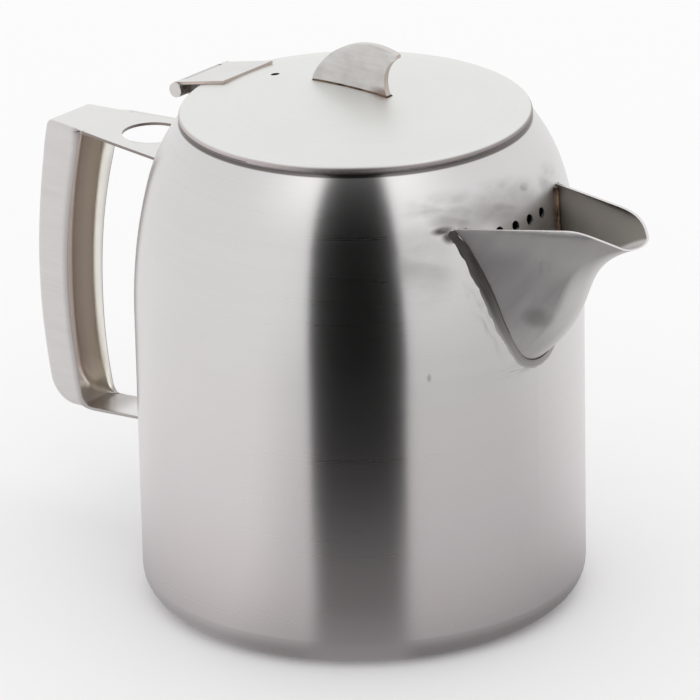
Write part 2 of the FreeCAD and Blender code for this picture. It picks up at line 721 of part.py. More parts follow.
def trim_to_lid(body):
    """Remove what lies below the lid's upper skin, so that the piece ends on that skin."""
    sketch = new_sketch(body, f"{body.Name}LidSkin", "XZ_Plane")
    turned, domed, centre = lid_arcs(sketch, "0")
    low = size(SEAT_HEIGHT) - size("lip_radius")
    drop_line = line(sketch, (size(LID_RADIUS), low), (size(LID_RADIUS), centre[1]))
    low_line = line(sketch, (0, low), (size(LID_RADIUS), low))
    axis = line(sketch, (0, size(LID_TOP)), (0, low))
    fix(sketch, "Coincident", low_line, END, drop_line, START)
    fix(sketch, "Tangent", drop_line, END, turned, START)
    fix(sketch, "Coincident", domed, END, axis, START)
    fix(sketch, "Coincident", axis, END, low_line, START)
    fix(sketch, "Horizontal", low_line)
    place(sketch, low_line, START, "0", f"{SEAT_HEIGHT} - lip_radius")
    return turn(body, "Groove", f"{body.Name}OnLid", sketch)


# Lid knob: a flat fin with a round back and a hollow front

knob = new_body("lid_knob")
fin = new_sketch(knob, "FinSide", "XZ_Plane")
root = f"{LID_TOP} - lid_sheet"
heel = ("0 - knob_heel_reach", f"{LID_TOP} + knob_heel_rise")
tip_top = ("knob_tip_reach", f"{LID_TOP} + knob_tip_rise")
tip_low = ("knob_tip_reach", f"{LID_TOP} + knob_tip_rise - knob_tip_width")
toe = ("knob_toe_reach", root)
heel_root = ("0 - knob_heel_reach", root)
fin_spots = [(size(x), size(z)) for x, z in (heel, tip_top, tip_low, toe, heel_root)]
back_arc = arc_between(fin, fin_spots[1], fin_spots[0], size("knob_back_radius"))
tip_edge = line(fin, fin_spots[1], fin_spots[2])
front_arc = arc_between(fin, fin_spots[2], fin_spots[3], size("knob_front_radius"))
base_line = line(fin, fin_spots[3], fin_spots[4])
heel_line = line(fin, fin_spots[4], fin_spots[0])
for first, first_end, second, second_end in (
    (back_arc, START, tip_edge, START),
    (tip_edge, END, front_arc, START),
    (front_arc, END, base_line, START),
    (base_line, END, heel_line, START),
    (heel_line, END, back_arc, END),
):
    fix(fin, "Coincident", first, first_end, second, second_end)
place(fin, back_arc, END, *heel)
place(fin, tip_edge, START, *tip_top)
place(fin, tip_edge, END, *tip_low)
place(fin, base_line, START, *toe)
place(fin, base_line, END, *heel_root)
drive(fin, "Radius", back_arc, "knob_back_radius")
drive(fin, "Radius", front_arc, "knob_front_radius")
across(knob, "Pad", "Fin", fin, "knob_thickness")
trim_to_lid(knob)


# Hinge leaf: a flat plate welded on the lid, with its outer corners rolled round the pin

leaf = new_body("hinge_leaf")
plate = new_sketch(leaf, "PlateSide", "XZ_Plane")


def leaf_top(x):
    return f"{LEAF_TOP_AT_PIN} + ( {x} + {HINGE_REACH} ) * tan( {LEAF_SLOPE} )"


LEAF_FRONT = "( 0 - leaf_reach )"
LEAF_BACK = f"( {PIN_X} - {BARREL_RADIUS} * sin( {LEAF_SLOPE} ) )"
LEAF_DEPTH = f"hinge_sheet / cos( {LEAF_SLOPE} )"
polygon(plate, [
    (LEAF_BACK, f"{leaf_top(LEAF_BACK)} - {LEAF_DEPTH}"),
    (LEAF_FRONT, f"{leaf_top(LEAF_FRONT)} - {LEAF_DEPTH}"),
    (LEAF_FRONT, leaf_top(LEAF_FRONT)),
    (LEAF_BACK, leaf_top(LEAF_BACK)),
])
across(leaf, "Pad", "Plate", plate, "leaf_half_width * 2")
curl = new_sketch(leaf, "CurlSide", "XZ_Plane")
circle_at(curl, PIN_X, HINGE_HEIGHT, BARREL_RADIUS)
across(leaf, "Pad", "Curl", curl, "leaf_half_width * 2")
slot = new_sketch(leaf, "SlotSide", "XZ_Plane")
circle_at(slot, PIN_X, HINGE_HEIGHT, f"{BARREL_RADIUS} + leaf_slot_gap")
across(leaf, "Pocket", "BracketSlot", slot, "( bracket_half_width + bracket_side_gap ) * 2")
leaf_bore = new_sketch(leaf, "LeafBoreSide", "XZ_Plane")
circle_at(leaf_bore, PIN_X, HINGE_HEIGHT, "pin_radius + pin_running_gap")
across(leaf, "Pocket", "LeafBore", leaf_bore, "leaf_half_width * 3")
trim_to_lid(leaf)


# Check and write every piece
PIECES = (pot, spout, weld, handle, bracket, pin, lid, knob, leaf)
doc.recompute()
for item in doc.Objects:
    if "Invalid" in item.State or "Error" in item.State:
        raise RuntimeError(f"{item.Label} failed: {item.State}")
for piece in PIECES:
    if piece.Shape.isNull() or not piece.Shape.isValid() or not piece.Shape.Solids:
        raise RuntimeError(f"{piece.Label} has no valid solid")
os.makedirs("parts", exist_ok=True)
for piece in PIECES:
    piece.Shape.exportStep(f"parts/{piece.Label}.step")
    box = piece.Shape.BoundBox
    print(f"{piece.Label}: {len(piece.Shape.Solids)} solid, {piece.Shape.Volume:.1f} mm3,"
          f" x {box.XMin:.2f} to {box.XMax:.2f}, y {box.YMin:.2f} to {box.YMax:.2f},"
          f" z {box.ZMin:.2f} to {box.ZMax:.2f}")
print(f"hinge axis at x {size(PIN_X):.4f}, z {size(HINGE_HEIGHT):.4f}")
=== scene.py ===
import bpy
import bmesh
import math
from mathutils import Matrix, Vector


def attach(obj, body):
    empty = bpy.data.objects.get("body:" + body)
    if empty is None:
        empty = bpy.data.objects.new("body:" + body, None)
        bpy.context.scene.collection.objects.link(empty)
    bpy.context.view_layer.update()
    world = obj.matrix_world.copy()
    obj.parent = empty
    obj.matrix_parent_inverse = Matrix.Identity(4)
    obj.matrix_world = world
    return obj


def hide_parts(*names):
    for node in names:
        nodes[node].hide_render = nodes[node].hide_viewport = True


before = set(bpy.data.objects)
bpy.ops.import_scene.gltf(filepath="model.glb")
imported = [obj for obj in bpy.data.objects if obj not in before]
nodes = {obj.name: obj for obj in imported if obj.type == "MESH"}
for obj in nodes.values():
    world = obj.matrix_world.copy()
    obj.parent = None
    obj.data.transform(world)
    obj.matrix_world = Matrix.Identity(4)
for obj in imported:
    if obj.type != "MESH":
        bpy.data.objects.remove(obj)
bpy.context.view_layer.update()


# Pot: one deep-drawn shell of stainless sheet with a flat base, a rounded heel and a bowed shoulder.
# It is belt polished while it turns, so hair lines run round it, and the belt left grey scuffs where
# the spout was in its way.
def add(tree, kind, inputs=None, **settings):
    node = tree.nodes.new(kind)
    for setting, value in settings.items():
        setattr(node, setting, value)
    for socket, value in (inputs or {}).items():
        if isinstance(value, bpy.types.NodeSocket):
            tree.links.new(value, node.inputs[socket])
        else:
            node.inputs[socket].default_value = value
    return node


def calc(tree, operation, first, second=0.0):
    return add(tree, "ShaderNodeMath", {0: first, 1: second}, operation=operation).outputs[0]


def vector_calc(tree, operation, first, second=(0, 0, 0)):
    return add(tree, "ShaderNodeVectorMath", {0: first, 1: second}, operation=operation).outputs[0]


def length_of(tree, vector):
    return add(tree, "ShaderNodeVectorMath", {0: vector}, operation="LENGTH").outputs["Value"]


def parted(tree, vector):
    return add(tree, "ShaderNodeSeparateXYZ", {"Vector": vector}).outputs


def mottled(tree, vector, scale, detail):
    return add(tree, "ShaderNodeTexNoise", {
        "Vector": vector, "Scale": scale, "Detail": detail,
    }).outputs["Fac"]


def spread(tree, value, low, high, new_low, new_high, curve="LINEAR"):
    ramp = add(tree, "ShaderNodeMapRange", {
        "Value": value, "From Min": low, "From Max": high, "To Min": new_low, "To Max": new_high,
    }, interpolation_type=curve)
    return ramp.outputs["Result"]


def blended(tree, share, first, second):
    return add(tree, "ShaderNodeMix", {0: share, 6: first, 7: second}, data_type="RGBA").outputs[2]


def shader_group(name, inputs, outputs):
    tree = bpy.data.node_groups.new(name, "ShaderNodeTree")
    for label, kind, value in inputs:
        tree.interface.new_socket(label, in_out="INPUT", socket_type=kind).default_value = value
    for label in outputs:
        tree.interface.new_socket(label, in_out="OUTPUT", socket_type="NodeSocketFloat")
    return tree, tree.nodes.new("NodeGroupInput").outputs, tree.nodes.new("NodeGroupOutput").inputs


# Hair lines: fine and broad strokes that lie across the vector's third axis
hair_lines, given, result = shader_group("hair_lines", [
    ("Vector", "NodeSocketVector", (0, 0, 0)),
    ("Across", "NodeSocketFloat", 1500.0),
    ("Along", "NodeSocketFloat", 30.0),
], ["Line", "Cloud"])
split = parted(hair_lines, given["Vector"])
strokes = []
for fineness in (1.0, 0.27):
    across = calc(hair_lines, "MULTIPLY", given["Across"], fineness)
    laid = add(hair_lines, "ShaderNodeCombineXYZ", {
        "X": calc(hair_lines, "MULTIPLY", split["X"], given["Along"]),
        "Y": calc(hair_lines, "MULTIPLY", split["Y"], given["Along"]),
        "Z": calc(hair_lines, "MULTIPLY", split["Z"], across),
    })
    strokes.append(add(hair_lines, "ShaderNodeTexNoise", {
        "Vector": laid.outputs["Vector"], "Scale": 1.0, "Detail": 3.0, "Roughness": 0.6,
    }).outputs["Fac"])
both = calc(hair_lines, "ADD", *strokes)
hair_lines.links.new(calc(hair_lines, "MULTIPLY", both, 0.5), result["Line"])
hair_lines.links.new(mottled(hair_lines, given["Vector"], 42.0, 2.0), result["Cloud"])

# Scuff: a streaky patch that fades out from its centre over its reach on each axis
scuff_patch, given, result = shader_group("scuff_patch", [
    ("Vector", "NodeSocketVector", (0, 0, 0)),
    ("Centre", "NodeSocketVector", (0, 0, 0)),
    ("Reach", "NodeSocketVector", (0.01, 0.01, 0.01)),
    ("Turn", "NodeSocketVector", (0, 0, 0)),
    ("Streak", "NodeSocketVector", (300, 300, 300)),
    ("Bare", "NodeSocketFloat", 0.4),
], ["Mask"])
moved = vector_calc(scuff_patch, "SUBTRACT", given["Vector"], given["Centre"])
turned = add(scuff_patch, "ShaderNodeVectorRotate", {
    "Vector": moved, "Rotation": given["Turn"],
}, rotation_type="EULER_XYZ").outputs[0]
away = length_of(scuff_patch, vector_calc(scuff_patch, "DIVIDE", turned, given["Reach"]))
fade = spread(scuff_patch, away, 0.25, 1.0, 1.0, 0.0, "SMOOTHSTEP")
drawn = vector_calc(scuff_patch, "MULTIPLY", turned, given["Streak"])
bitten = add(scuff_patch, "ShaderNodeMapRange", {
    "Value": mottled(scuff_patch, drawn, 1.0, 4.0), "From Min": given["Bare"],
    "From Max": calc(scuff_patch, "ADD", given["Bare"], 0.45),
})
scuff_patch.links.new(calc(scuff_patch, "MULTIPLY", fade, bitten.outputs["Result"]), result["Mask"])


def steel(name, roughness):
    material = bpy.data.materials.new(name)
    material.use_nodes = True
    tree = material.node_tree
    tree.nodes.clear()
    shader = add(tree, "ShaderNodeBsdfPrincipled", {"Metallic": 1.0, "Roughness": roughness})
    add(tree, "ShaderNodeOutputMaterial", {"Surface": shader.outputs["BSDF"]})
    place = add(tree, "ShaderNodeTexCoord").outputs["Object"]
    return material, tree, shader, place


def lined(tree, vector, across, along):
    lines = add(tree, "ShaderNodeGroup", {
        "Vector": vector, "Across": across, "Along": along,
    }, node_tree=hair_lines)
    return lines.outputs["Line"], lines.outputs["Cloud"]


def scuffed(tree, place, centre, reach, streak, bare, turn=(0, 0, 0)):
    return add(tree, "ShaderNodeGroup", {
        "Vector": place, "Centre": centre, "Reach": reach, "Streak": streak, "Turn": turn, "Bare": bare,
    }, node_tree=scuff_patch).outputs["Mask"]


def brushed(tree, line, dark, light):
    return blended(tree, spread(tree, line, 0.33, 0.67, 0, 1), dark, light)


def coloured(tree, shader, colour):
    tree.links.new(colour, shader.inputs["Base Color"])


def roughened(tree, shader, value, low, high):
    tree.links.new(spread(tree, value, 0.3, 0.7, low, high), shader.inputs["Roughness"])


def scratched(tree, shader, height, strength, depth):
    bump = add(tree, "ShaderNodeBump", {"Height": height, "Strength": strength, "Distance": depth})
    tree.links.new(bump.outputs["Normal"], shader.inputs["Normal"])


def facing(tree):
    return parted(tree, add(tree, "ShaderNodeTexCoord").outputs["Normal"])


def hollow_side(tree, place):
    inwards = calc(tree, "MULTIPLY", parted(tree, place)["Y"], facing(tree)["Y"])
    return spread(tree, inwards, -0.004, -0.001, 1, 0, "SMOOTHSTEP")


def finish_with(node, material):
    for slot in nodes[node].material_slots:
        slot.link = "OBJECT"
        slot.material = material


pot_steel, tree, shader, place = steel("pot_steel", 0.28)
shader.inputs["Anisotropic"].default_value = 0.88
shader.inputs["Anisotropic Rotation"].default_value = 0.25
tangent = add(tree, "ShaderNodeTangent", direction_type="RADIAL", axis="Z")
tree.links.new(tangent.outputs["Tangent"], shader.inputs["Tangent"])
line, cloud = lined(tree, place, 2400.0, 10.0)
scuffs_and_band_shade = None
for centre, reach, streak, bare, turn in (
    # centre, reach on each axis, streaks on each axis, share left bare, turn of the streaks
    ((0.0525, -0.0260, 0.1385), (0.014, 0.016, 0.0055), (120, 120, 260), 0.36, (0, 0, 0)),
    ((0.0570, -0.0100, 0.1385), (0.014, 0.018, 0.0050), (120, 120, 260), 0.38, (0, 0, 0)),
    ((0.0586, 0.0050, 0.1371), (0.005, 0.004, 0.0022), (150, 150, 200), 0.10, (0, 0, 0)),
    ((0.0565, 0.0190, 0.1345), (0.010, 0.011, 0.0065), (120, 120, 200), 0.30, (0, 0, 0)),
    ((0.0590, -0.0080, 0.1350), (0.016, 0.026, 0.0075), (60, 60, 100), 0.22, (0, 0, 0)),
    ((0.0548, -0.0226, 0.1350), (0.010, 0.013, 0.0052), (90, 90, 220), 0.14, (0, 0, 0)),
    ((0.0592, -0.0050, 0.1350), (0.010, 0.014, 0.0045), (90, 90, 220), 0.20, (0, 0, 0)),
    # Painted shade, not a scuff: this wide soft grey patch beside the mirrored dark band softens the band's
    # right edge.
    ((0.0530, -0.0345, 0.1245), (0.014, 0.012, 0.0170), (50, 50, 120), 0.30, (0, 0, 0)),
    ((0.0632, -0.0200, 0.1045), (0.008, 0.0036, 0.0200), (700, 700, 45), 0.43, (-0.38, 0, 0)),
    ((0.0664, -0.0085, 0.0865), (0.010, 0.0110, 0.0035), (200, 160, 1400), 0.43, (0, 0, 0)),
    ((0.0560, -0.0370, 0.0904), (0.002, 0.0008, 0.0018), (300, 300, 300), 0.05, (0, 0, 0)),
):
    patch = scuffed(tree, place, centre, reach, streak, bare, turn)
    scuffs_and_band_shade = patch if scuffs_and_band_shade is None else calc(tree, "MAXIMUM", scuffs_and_band_shade, patch)
burnt = calc(
    tree, "MAXIMUM",
    scuffed(tree, place, (0.0540, -0.0276, 0.1323), (0.005, 0.0046, 0.0016), (150, 150, 400), 0.05),
    scuffed(tree, place, (0.0553, -0.0262, 0.1304), (0.005, 0.0030, 0.0028), (150, 150, 300), 0.05),
)
height = parted(tree, place)["Z"]
# Painted shadow: a thin dark band round the shoulder just under the lid's rim, for the shade in the gap
# between lid and pot.
lid_gap_shadow = calc(tree, "MULTIPLY", spread(tree, height, 0.1475, 0.1479, 0, 0.92, "SMOOTHSTEP"),
            spread(tree, height, 0.1484, 0.1491, 1, 0.15, "SMOOTHSTEP"))
bright = brushed(tree, line, (0.645, 0.632, 0.630, 1), (0.668, 0.656, 0.653, 1))
warmed = blended(tree, spread(tree, height, 0.02, 0.11, 1, 0), bright, (0.662, 0.612, 0.622, 1))
aged = blended(tree, spread(tree, cloud, 0.35, 0.7, 0, 0.12), warmed, (0.60, 0.565, 0.56, 1))
greyed = blended(tree, calc(tree, "MULTIPLY", scuffs_and_band_shade, 0.46), aged, (0.17, 0.155, 0.15, 1))
shaded = blended(tree, lid_gap_shadow, greyed, (0.12, 0.105, 0.10, 1))
marked = blended(tree, calc(tree, "MULTIPLY", burnt, 0.9), shaded, (0.055, 0.048, 0.045, 1))
coloured(tree, shader, marked)
smooth = spread(tree, line, 0.3, 0.7, 0.27, 0.29)
rough = calc(tree, "ADD", smooth, calc(tree, "MULTIPLY", scuffs_and_band_shade, 0.12))
tree.links.new(rough, shader.inputs["Roughness"])
scratched(tree, shader, line, 0.004, 0.00005)
finish_with("body_shell", pot_steel)


# Spout: a beak pressed from sheet, open on top, with its lip trimmed by hand. It is polished by hand
# along its flanks, so it looks cloudier than the pot and is scratched near its root.
spout_steel, tree, shader, place = steel("spout_steel", 0.34)
leaning = add(tree, "ShaderNodeVectorRotate", {
    "Vector": place, "Rotation": (0, 0.9, 0),
}, rotation_type="EULER_XYZ")
line, cloud = lined(tree, leaning.outputs[0], 1100.0, 45.0)
rubbed = calc(
    tree, "MAXIMUM",
    scuffed(tree, place, (0.0737, -0.0090, 0.1043), (0.006, 0.006, 0.0048), (120, 120, 120), 0.0),
    scuffed(tree, place, (0.0773, -0.0111, 0.1215), (0.005, 0.006, 0.0034), (600, 600, 150), 0.44),
)
stained = scuffed(tree, place, (0.0575, 0.0215, 0.131), (0.0045, 0.006, 0.010), (200, 200, 200), 0.2)
bright = brushed(tree, line, (0.72, 0.695, 0.695, 1), (0.79, 0.765, 0.765, 1))
clouded = blended(tree, spread(tree, cloud, 0.35, 0.7, 0, 0.4), bright, (0.66, 0.625, 0.625, 1))
scraped = blended(tree, calc(tree, "MULTIPLY", rubbed, 0.5), clouded, (0.30, 0.28, 0.28, 1))
inside = blended(tree, hollow_side(tree, place), scraped, (0.27, 0.25, 0.225, 1))
marked = blended(tree, calc(tree, "MULTIPLY", stained, 0.8), inside, (0.13, 0.09, 0.06, 1))
coloured(tree, shader, marked)
roughened(tree, shader, line, 0.42, 0.52)
scratched(tree, shader, line, 0.06, 0.00005)
finish_with("spout", spout_steel)


# Spout welds: the outer seam between spout and pot is ground to a shallow hollow band, and the inner
# one is left as it was laid, brown from the heat. Both follow the line where the beak meets the pot.
POT_RADIUS = 0.067
WALL_HEIGHT = 0.0893
BOW_RADIUS = 0.1532
CROWN_RADIUS = 0.0514
CROWN_CENTRE = (0.01216, 0.115538)
CROWN_TANGENT = WALL_HEIGHT + BOW_RADIUS * (CROWN_CENTRE[1] - WALL_HEIGHT) / (BOW_RADIUS - CROWN_RADIUS)
SPOUT_LEVELS = (
    # height, reach of the keel, slant of the flanks, radius of the nose
    (0.0800, 0.0605, 32.0, 0.0110),
    (0.0900, 0.0698, 32.0, 0.0100),
    (0.1000, 0.0787, 32.0, 0.0085),
    (0.1090, 0.0833, 30.0, 0.0080),
    (0.1170, 0.0870, 29.0, 0.0075),
    (0.1220, 0.0912, 27.0, 0.0070),
    (0.1270, 0.0984, 23.2, 0.0070),
    (0.1311, 0.1075, 20.4, 0.0070),
    (0.1360, 0.1205, 10.5, 0.0070),
)
SPOUT_SHEET = 0.001
WELD_TOP = 0.1319
ROOT_SEARCH = 0.05
SEAT_LIFT = 0.00012
EDGE_SINK = 0.00008
FLANK_CLEAR = 0.00004
WELD_BURY = 0.0004


def pot_skin(height):
    if height <= WALL_HEIGHT:
        return POT_RADIUS
    bow = POT_RADIUS - BOW_RADIUS + math.sqrt(BOW_RADIUS ** 2 - (height - WALL_HEIGHT) ** 2)
    crown = CROWN_CENTRE[0] + math.sqrt(max(CROWN_RADIUS ** 2 - (height - CROWN_CENTRE[1]) ** 2, 0))
    return bow if height < CROWN_TANGENT else crown


def through(rows, at):
    i = max(k for k in range(len(rows) - 1) if k == 0 or rows[k][0] <= at)
    low, high = rows[i], rows[i + 1]
    before, after = rows[max(i - 1, 0)], rows[min(i + 2, len(rows) - 1)]
    step = high[0] - low[0]
    t = min(max((at - low[0]) / step, 0), 1)
    values = []
    for k in range(1, len(low)):
        rise = (high[k] - before[k]) / (high[0] - before[0]) * step
        fall = (after[k] - low[k]) / (after[0] - low[0]) * step
        values.append((2 * t ** 3 - 3 * t ** 2 + 1) * low[k] + (t ** 3 - 2 * t ** 2 + t) * rise
                      + (3 * t ** 2 - 2 * t ** 3) * high[k] + (t ** 3 - t ** 2) * fall)
    return values


def outside_beak(x, y, height):
    reach, slant, nose = through(SPOUT_LEVELS, height)
    slant = math.radians(slant)
    ahead = x - reach + nose
    if math.atan2(abs(y), ahead) < math.pi / 2 - slant:
        return math.hypot(ahead, y) - nose
    return ahead * math.sin(slant) + abs(y) * math.cos(slant) - nose


def root_point(turn, grow, lift):
    def at(away):
        height = WELD_TOP - away * math.sin(turn)
        radius = pot_skin(height) + lift
        swing = -away * math.cos(turn) / POT_RADIUS
        return radius * math.cos(swing), radius * math.sin(swing), height

    near, far = 0.0, ROOT_SEARCH
    for _ in range(40):
        middle = (near + far) / 2
        if outside_beak(*at(middle)) < grow:
            near = middle
        else:
            far = middle
    return Vector(at(near))


def root_run(skin, flank, inside, steps=120):
    seat_grow = -SPOUT_SHEET if inside else 0.0
    side = -1 if inside else 1
    rows = []
    for k in range(steps + 1):
        turn = math.pi * k / steps
        seat = root_point(turn, seat_grow, SEAT_LIFT)
        rows.append((
            seat,
            root_point(turn, seat_grow + side * skin(turn), -EDGE_SINK) - seat,
            root_point(turn, seat_grow + side * FLANK_CLEAR, flank(turn)) - seat,
            root_point(turn, seat_grow - side * WELD_BURY, -WELD_BURY) - seat,
        ))
    return rows


weld_run = bpy.data.node_groups.new("weld_run", "GeometryNodeTree")
weld_run.interface.new_socket("Geometry", in_out="INPUT", socket_type="NodeSocketGeometry")
weld_inputs = {
    label: weld_run.interface.new_socket(label, in_out="INPUT", socket_type=kind).identifier
    for label, kind in (
        ("Hollow", "NodeSocketFloat"),
        ("Ripple", "NodeSocketFloat"),
        ("Ripple Length", "NodeSocketFloat"),
        ("Steps", "NodeSocketInt"),
        ("Steel", "NodeSocketMaterial"),
    )
}
weld_run.interface.new_socket("Geometry", in_out="OUTPUT", socket_type="NodeSocketGeometry")
FACE_SHARE = 0.75
given = weld_run.nodes.new("NodeGroupInput").outputs
rail = add(weld_run, "GeometryNodeMeshToCurve", {"Mesh": given["Geometry"]})
ring = add(weld_run, "GeometryNodeCurvePrimitiveCircle", {"Resolution": given["Steps"], "Radius": 0.001})
place_on_ring = calc(weld_run, "DIVIDE", add(weld_run, "GeometryNodeInputIndex").outputs[0], given["Steps"])
ring_named = add(weld_run, "GeometryNodeStoreNamedAttribute", {
    "Geometry": ring.outputs["Curve"], "Name": "round", "Value": place_on_ring,
}, data_type="FLOAT", domain="POINT")
swept = add(weld_run, "GeometryNodeCurveToMesh", {
    "Curve": rail.outputs["Curve"], "Profile Curve": ring_named.outputs["Geometry"], "Fill Caps": True,
})


def read(name, kind):
    found = add(weld_run, "GeometryNodeInputNamedAttribute", {"Name": name}, data_type=kind)
    return found.outputs["Attribute"]


def times(vector, share):
    return add(weld_run, "ShaderNodeVectorMath", {0: vector, "Scale": share}, operation="SCALE").outputs[0]


def plus(first, second):
    return vector_calc(weld_run, "ADD", first, second)


round_share = read("round", "FLOAT")
face = spread(weld_run, round_share, 0, FACE_SHARE, 0, 1)
back = spread(weld_run, round_share, FACE_SHARE, 1, 0, 1)
face_left = calc(weld_run, "SUBTRACT", 1.0, face)
back_left = calc(weld_run, "SUBTRACT", 1.0, back)
belly = calc(weld_run, "MULTIPLY", face, face_left)
filled = calc(weld_run, "MULTIPLY", belly, calc(weld_run, "SUBTRACT", 1.0, given["Hollow"]))
on_back = calc(weld_run, "GREATER_THAN", round_share, FACE_SHARE)


def either(front, behind):
    return add(weld_run, "GeometryNodeSwitch", {
        "Switch": on_back, "False": front, "True": behind,
    }, input_type="FLOAT").outputs["Output"]


def squared(value):
    return calc(weld_run, "MULTIPLY", value, value)


skin_share = either(calc(weld_run, "ADD", squared(face_left), filled), squared(back))
flank_share = either(calc(weld_run, "ADD", squared(face), filled), squared(back_left))
bulge = calc(weld_run, "MULTIPLY", calc(weld_run, "MULTIPLY", back, back_left), 4.0)
skin_leg, flank_leg = read("skin_leg", "FLOAT_VECTOR"), read("flank_leg", "FLOAT_VECTOR")
laid_on = plus(times(skin_leg, skin_share), times(flank_leg, flank_share))
sunk_in = times(read("bury", "FLOAT_VECTOR"), either(0.0, bulge))
seated = plus(read("seat", "FLOAT_VECTOR"), plus(laid_on, sunk_in))
fineness = calc(weld_run, "DIVIDE", 1.0, given["Ripple Length"])
grain = calc(weld_run, "SUBTRACT", mottled(weld_run, seated, fineness, 1.5), 0.5)
outward = vector_calc(weld_run, "NORMALIZE", plus(skin_leg, flank_leg))
height = calc(weld_run, "MULTIPLY", calc(weld_run, "MULTIPLY", grain, given["Ripple"]),
              calc(weld_run, "MULTIPLY", belly, 4.0))
rippled = plus(seated, times(outward, either(height, 0.0)))
shaped = add(weld_run, "GeometryNodeSetPosition", {"Geometry": swept.outputs["Mesh"], "Position": rippled})
smooth = add(weld_run, "GeometryNodeSetShadeSmooth", {"Geometry": shaped.outputs["Geometry"]})
whole = add(weld_run, "GeometryNodeRealizeInstances", {"Geometry": smooth.outputs["Geometry"]})
steeled = add(weld_run, "GeometryNodeSetMaterial", {
    "Geometry": whole.outputs["Geometry"], "Material": given["Steel"],
})
add(weld_run, "NodeGroupOutput", {"Geometry": steeled.outputs["Geometry"]})


def made_solid(piece):
    graph = bpy.context.evaluated_depsgraph_get()
    mesh = bpy.data.meshes.new_from_object(piece.evaluated_get(graph), depsgraph=graph)
    piece.modifiers.clear()
    piece.data = mesh
    return mesh


def laid_weld(name, rows, material, hollow, ripple, ripple_length, closed=False, steps=32):
    mesh = bpy.data.meshes.new(name)
    count = len(rows)
    edges = [(k, k + 1) for k in range(count - 1)] + ([(count - 1, 0)] if closed else [])
    mesh.from_pydata([row[0] for row in rows], edges, [])
    for column, label in enumerate(("seat", "skin_leg", "flank_leg", "bury")):
        values = mesh.attributes.new(label, "FLOAT_VECTOR", "POINT").data
        for value, row in zip(values, rows):
            value.vector = row[column]
    run = mesh.attributes.new("run", "FLOAT", "POINT").data
    for k, value in enumerate(run):
        value.value = k / (count - 1)
    path = bpy.data.objects.new(name, mesh)
    bpy.context.scene.collection.objects.link(path)
    modifier = path.modifiers.new("weld", "NODES")
    modifier.node_group = weld_run
    for label, value in (("Hollow", hollow), ("Ripple", ripple), ("Ripple Length", ripple_length),
                         ("Steps", steps), ("Steel", material)):
        modifier[weld_inputs[label]] = value
    made_solid(path)
    bpy.data.meshes.remove(mesh)
    return path


def own_values(tree, label):
    return add(tree, "ShaderNodeAttribute", attribute_name=label).outputs["Fac"]


ground_steel, tree, shader, _ = steel("ground_weld_steel", 0.4)
along = own_values(tree, "run")
across = own_values(tree, "round")
strip = add(tree, "ShaderNodeCombineXYZ", {"X": along, "Z": across})
line, _ = lined(tree, strip.outputs[0], 26.0, 5.0)
off_middle = calc(tree, "ABSOLUTE", calc(tree, "SUBTRACT", along, 0.5))
from_bottom = spread(tree, off_middle, 0.02, 0.26, 0, 1, "SMOOTHSTEP")
strokes = spread(tree, line, 0.36, 0.64, 0, 1)
bright = blended(tree, strokes, (0.27, 0.255, 0.25, 1), (0.46, 0.445, 0.44, 1))
dull = blended(tree, strokes, (0.035, 0.031, 0.031, 1), (0.115, 0.105, 0.103, 1))
ground = blended(tree, from_bottom, bright, dull)
off_face = calc(tree, "ABSOLUTE", calc(tree, "SUBTRACT", across, 0.5))
feather = calc(tree, "MULTIPLY", spread(tree, off_face, 0.16, 0.48, 0, 0.95, "SMOOTHSTEP"),
               spread(tree, off_middle, 0.16, 0.4, 1, 0.2))
feathered = blended(tree, feather, ground, (0.56, 0.545, 0.54, 1))
crease = calc(tree, "MULTIPLY", spread(tree, across, 0.58, 0.74, 0, 0.85, "SMOOTHSTEP"),
              spread(tree, across, 0.78, 0.90, 1, 0))
coloured(tree, shader, blended(tree, crease, feathered, (0.085, 0.070, 0.064, 1)))
roughened(tree, shader, line, 0.46, 0.6)
scratched(tree, shader, line, 0.25, 0.0001)

burnt_steel, tree, shader, place = steel("burnt_weld_steel", 0.55)
burn = mottled(tree, place, 420.0, 3.0)
tinted = blended(tree, spread(tree, burn, 0.35, 0.65, 0, 1), (0.05, 0.036, 0.028, 1), (0.21, 0.145, 0.10, 1))
coloured(tree, shader, tinted)
roughened(tree, shader, burn, 0.35, 0.6)
scratched(tree, shader, burn, 0.5, 0.0002)

OUTER_LEG = 0.0040
OUTER_RISE = 0.0006
INNER_LEG = 0.0013
INNER_RISE = 0.0011
outer_rows = root_run(
    lambda turn: OUTER_LEG * (1.25 - 0.6 * math.sin(turn) ** 2),
    lambda turn: OUTER_RISE * (0.5 + 0.5 * math.sin(turn)), False)
inner_rows = root_run(lambda turn: INNER_LEG, lambda turn: INNER_RISE, True)
outer_weld = laid_weld("spout_ground_weld", outer_rows, ground_steel,
                       hollow=0.8, ripple=0.00003, ripple_length=0.006)
inner_weld = laid_weld("spout_inner_weld", inner_rows, burnt_steel,
                       hollow=-0.4, ripple=0.0011, ripple_length=0.0018)
for weld in (outer_weld, inner_weld):
    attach(weld, "pot")
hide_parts("spout_weld")


